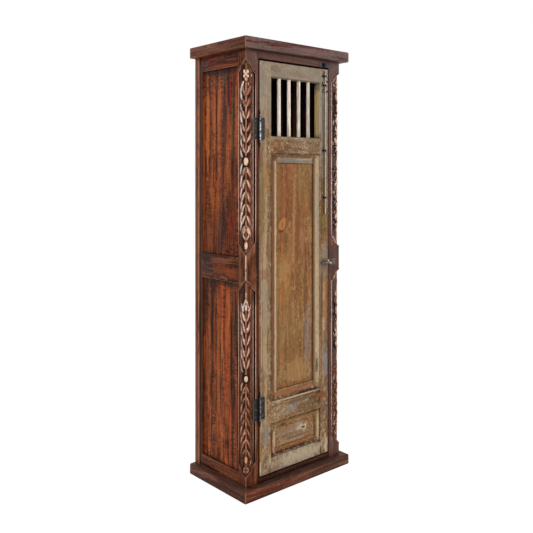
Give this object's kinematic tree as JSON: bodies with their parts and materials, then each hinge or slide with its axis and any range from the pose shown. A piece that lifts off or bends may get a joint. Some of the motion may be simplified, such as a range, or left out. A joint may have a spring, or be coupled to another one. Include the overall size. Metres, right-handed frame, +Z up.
{
  "type": "storage cabinet",
  "caption": "Tall narrow wooden storage cabinet with carved corner posts, one framed door with a barred window and moulded panels, iron hinges and slide bolts, and shelves inside.",
  "frame": {"origin": "middle of the base, at floor level", "axes": "+Z up, -Y out of the front, +X to the right seen from the front"},
  "size_m": [0.625, 0.398, 1.93],
  "materials": {
    "plinth_wood": "worn stained wood",
    "cornice_wood": "worn stained wood",
    "inner_wood": "bare aged wood",
    "post_wood": "worn stained wood, carved",
    "side_wood": "worn stained wood, saw marks",
    "door_paint": "worn milk paint over wood",
    "panel_paint": "worn milk paint over wood",
    "moulding_paint": "worn milk paint over wood",
    "spindle_wood": "rubbed pale wood",
    "dark_iron": "hand-forged, blackened",
    "worn_steel": "worn bright"
  },
  "bodies": {
    "case": {"back_boards": "inner_wood", "back_bottom_rail": "inner_wood", "back_post_left": "side_wood", "back_post_right": "side_wood", "back_top_rail": "inner_wood", "case_screws": "dark_iron", "cornice_back": "cornice_wood", "cornice_front": "cornice_wood", "cornice_left": "cornice_wood", "cornice_right": "cornice_wood", "door_stop": "inner_wood", "floor_boards": "inner_wood", "front_post_left": "post_wood", "front_post_right": "post_wood", "header_keeper": "dark_iron", "header_rail": "post_wood", "hinge_pins": "dark_iron", "latch_keeper": "worn_steel", "left_bottom_rail": "side_wood", "left_lower_boards": "side_wood", "left_mid_rail": "side_wood", "left_top_rail": "side_wood", "left_upper_boards": "side_wood", "lower_hinge_frame_leaf": "dark_iron", "plinth_back": "plinth_wood", "plinth_front": "plinth_wood", "plinth_left": "plinth_wood", "plinth_right": "plinth_wood", "post_dowels": "inner_wood", "right_bottom_rail": "side_wood", "right_lower_boards": "side_wood", "right_mid_rail": "side_wood", "right_top_rail": "side_wood", "right_upper_boards": "side_wood", "shelf_cleats": "inner_wood", "shelf_lower": "inner_wood", "shelf_middle": "inner_wood", "shelf_upper": "inner_wood", "threshold_rail": "post_wood", "top_boards": "inner_wood", "upper_hinge_frame_leaf": "dark_iron"},
    "door": {"door_bottom_rail": "door_paint", "door_lock_rail": "door_paint", "door_screws": "dark_iron", "door_top_rail": "door_paint", "door_window_rail": "door_paint", "hinge_stile": "door_paint", "latch_base": "worn_steel", "latch_stile": "door_paint", "lower_hinge_door_leaf": "dark_iron", "rod_guides": "worn_steel", "small_panel": "panel_paint", "small_panel_moulding": "moulding_paint", "tall_panel": "panel_paint", "tall_panel_moulding": "moulding_paint", "upper_hinge_door_leaf": "dark_iron", "window_spindles": "spindle_wood"},
    "long_bolt": {"long_bolt": "worn_steel"},
    "latch_bolt": {"latch_bolt": "worn_steel"}
  },
  "joints": [
    {"name": "door_swing", "type": "hinge", "parent": "case", "child": "door", "pos_m": [-0.21125, -0.1719, 0.9565], "axis": [0, 0, -1], "range_deg": [0, 120]},
    {"name": "long_bolt_slide", "type": "slide", "parent": "door", "child": "long_bolt", "axis": [0, 0, 1], "range_m": [0, 0.024]},
    {"name": "latch_bolt_slide", "type": "slide", "parent": "door", "child": "latch_bolt", "axis": [1, 0, 0], "range_m": [0, 0.013]}
  ]
}
